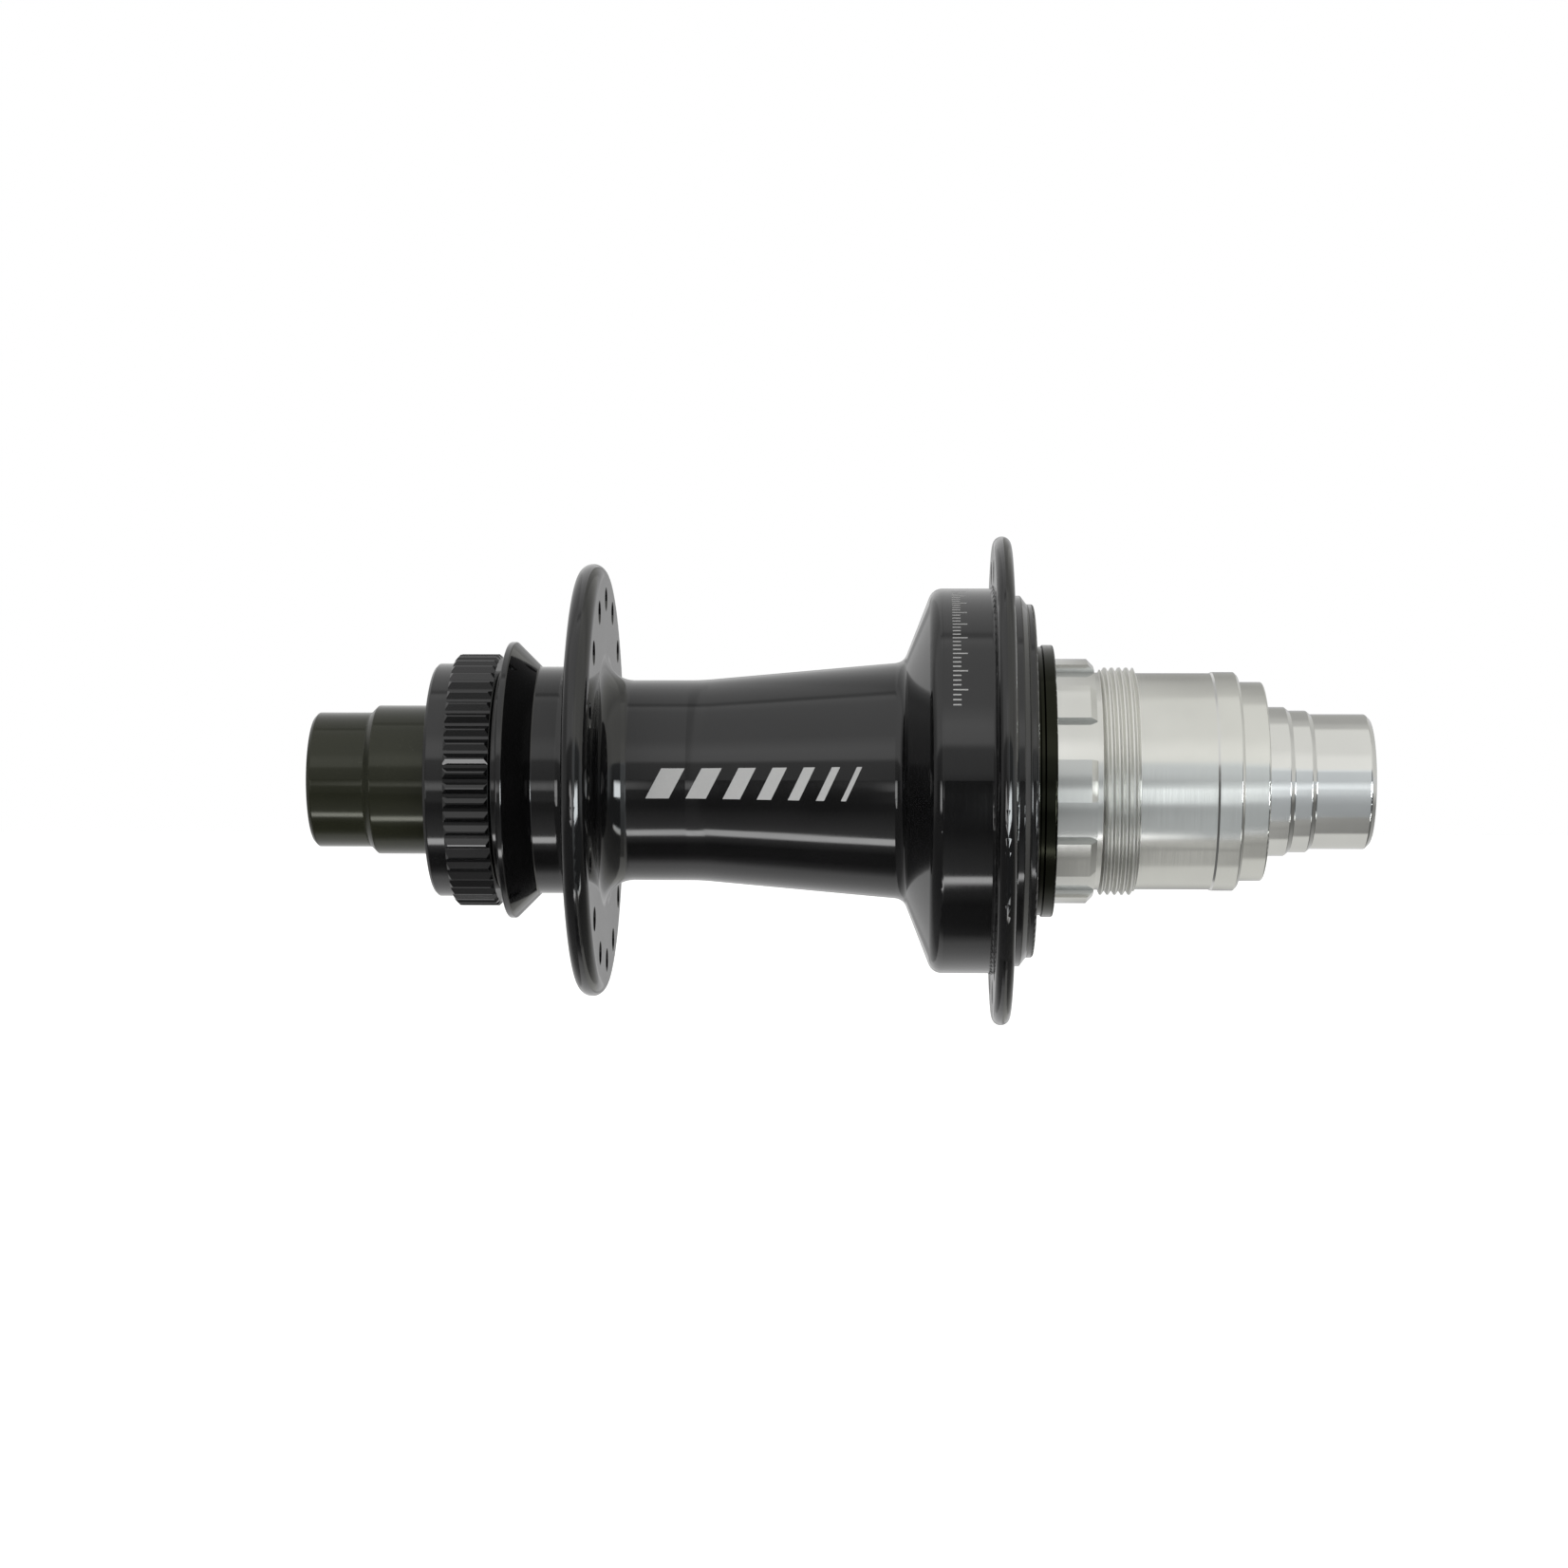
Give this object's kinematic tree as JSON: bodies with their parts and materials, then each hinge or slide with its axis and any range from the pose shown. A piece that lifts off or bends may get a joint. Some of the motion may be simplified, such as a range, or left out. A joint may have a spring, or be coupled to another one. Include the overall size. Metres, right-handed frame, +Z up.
{
  "type": "bicycle rear hub",
  "caption": "Rear bicycle hub: black flanged shell with a splined disc mount, and a silver ratcheting freehub turning on cartridge bearings round a hollow axle.",
  "frame": {"origin": "middle of the through axle bore, halfway between the two end faces", "axes": "+X along the hub's axis towards the drive side, -X towards the disc side, +Z up"},
  "size_m": [0.148, 0.0684, 0.0684],
  "materials": {
    "shell_black": "gloss black anodised",
    "dark_cap": "satin dark anodised",
    "dark_seal": "smooth dark polymer",
    "silver_alloy": "machined, clear anodised",
    "freehub_alloy": "machined, satin",
    "tool_steel": "hardened, ground",
    "spring_steel": "blued",
    "bearing_steel": "polished",
    "cage_polymer": "moulded",
    "seal_rubber": "moulded"
  },
  "bodies": {
    "axle": {"axle": "silver_alloy", "left_end_cap": "dark_cap", "left_end_cap_o_ring": "seal_rubber", "drive_end_cap": "silver_alloy", "drive_end_cap_o_ring": "seal_rubber", "drive_side_spacer": "silver_alloy", "freehub_bearing_spacer": "silver_alloy", "left_bearing_inner_race": "bearing_steel", "drive_bearing_inner_race": "bearing_steel", "freehub_inner_bearing_inner_race": "bearing_steel", "freehub_outer_bearing_inner_race": "bearing_steel"},
    "hub_shell": {"hub_shell": "shell_black", "ratchet_ring": "tool_steel", "labyrinth_seal_shell": "dark_seal", "left_bearing_outer_race": "bearing_steel", "left_bearing_seals": "seal_rubber", "drive_bearing_outer_race": "bearing_steel", "drive_bearing_seals": "seal_rubber"},
    "freehub": {"freehub_body": "freehub_alloy", "labyrinth_seal_freehub": "dark_seal", "freehub_circlip": "spring_steel", "freehub_inner_bearing_outer_race": "bearing_steel", "freehub_inner_bearing_seals": "seal_rubber", "freehub_outer_bearing_outer_race": "bearing_steel", "freehub_outer_bearing_seals": "seal_rubber", "pawl_spring_a1": "spring_steel", "pawl_spring_a2": "spring_steel", "pawl_spring_a3": "spring_steel", "pawl_spring_b1": "spring_steel", "pawl_spring_b2": "spring_steel", "pawl_spring_b3": "spring_steel"},
    "left_bearing_balls": {"left_bearing_balls": "bearing_steel", "left_bearing_cage": "cage_polymer"},
    "drive_bearing_balls": {"drive_bearing_balls": "bearing_steel", "drive_bearing_cage": "cage_polymer"},
    "freehub_inner_bearing_balls": {"freehub_inner_bearing_balls": "bearing_steel", "freehub_inner_bearing_cage": "cage_polymer"},
    "freehub_outer_bearing_balls": {"freehub_outer_bearing_balls": "bearing_steel", "freehub_outer_bearing_cage": "cage_polymer"},
    "pawl_a1": {"pawl_a1": "tool_steel"},
    "pawl_a2": {"pawl_a2": "tool_steel"},
    "pawl_a3": {"pawl_a3": "tool_steel"},
    "pawl_b1": {"pawl_b1": "tool_steel"},
    "pawl_b2": {"pawl_b2": "tool_steel"},
    "pawl_b3": {"pawl_b3": "tool_steel"}
  },
  "joints": [
    {"name": "shell_spin", "type": "hinge", "parent": "axle", "child": "hub_shell", "pos_m": [0, 0, 0], "axis": [1, 0, 0], "continuous": true},
    {"name": "freehub_spin", "type": "hinge", "parent": "axle", "child": "freehub", "pos_m": [0.036, 0, 0], "axis": [1, 0, 0], "continuous": true},
    {"name": "left_bearing_balls_spin", "type": "hinge", "parent": "axle", "child": "left_bearing_balls", "pos_m": [-0.0475, 0, 0], "axis": [1, 0, 0], "continuous": true},
    {"name": "drive_bearing_balls_spin", "type": "hinge", "parent": "axle", "child": "drive_bearing_balls", "pos_m": [0.007, 0, 0], "axis": [1, 0, 0], "continuous": true},
    {"name": "freehub_inner_bearing_balls_spin", "type": "hinge", "parent": "axle", "child": "freehub_inner_bearing_balls", "pos_m": [0.016, 0, 0], "axis": [1, 0, 0], "continuous": true},
    {"name": "freehub_outer_bearing_balls_spin", "type": "hinge", "parent": "axle", "child": "freehub_outer_bearing_balls", "pos_m": [0.0555, 0, 0], "axis": [1, 0, 0], "continuous": true},
    {"name": "pawl_a1_swing", "type": "hinge", "parent": "freehub", "child": "pawl_a1", "pos_m": [0.018, -0.0167, 0], "axis": [1, 0, 0], "range_deg": [0, 9], "stiffness_Nm_per_rad": 0.0005, "springref_deg": 34.38},
    {"name": "pawl_a2_swing", "type": "hinge", "parent": "freehub", "child": "pawl_a2", "pos_m": [0.018, 0.00835, 0.01446], "axis": [1, 0, 0], "range_deg": [0, 9], "stiffness_Nm_per_rad": 0.0005, "springref_deg": 34.38},
    {"name": "pawl_a3_swing", "type": "hinge", "parent": "freehub", "child": "pawl_a3", "pos_m": [0.018, 0.00835, -0.01446], "axis": [1, 0, 0], "range_deg": [0, 9], "stiffness_Nm_per_rad": 0.0005, "springref_deg": 34.38},
    {"name": "pawl_b1_swing", "type": "hinge", "parent": "freehub", "child": "pawl_b1", "pos_m": [0.018, -0.00749, 0.01492], "axis": [1, 0, 0], "range_deg": [0, 4], "stiffness_Nm_per_rad": 0.0005, "springref_deg": 34.38},
    {"name": "pawl_b2_swing", "type": "hinge", "parent": "freehub", "child": "pawl_b2", "pos_m": [0.018, 0.01667, -0.00097], "axis": [1, 0, 0], "range_deg": [0, 4], "stiffness_Nm_per_rad": 0.0005, "springref_deg": 34.38},
    {"name": "pawl_b3_swing", "type": "hinge", "parent": "freehub", "child": "pawl_b3", "pos_m": [0.018, -0.00918, -0.01395], "axis": [1, 0, 0], "range_deg": [0, 4], "stiffness_Nm_per_rad": 0.0005, "springref_deg": 34.38}
  ],
  "couplings": [
    {"joint": "left_bearing_balls_spin", "follows": "shell_spin", "ratio": 0.55509},
    {"joint": "drive_bearing_balls_spin", "follows": "shell_spin", "ratio": 0.58425},
    {"joint": "freehub_inner_bearing_balls_spin", "follows": "freehub_spin", "ratio": 0.55509},
    {"joint": "freehub_outer_bearing_balls_spin", "follows": "freehub_spin", "ratio": 0.55509}
  ]
}
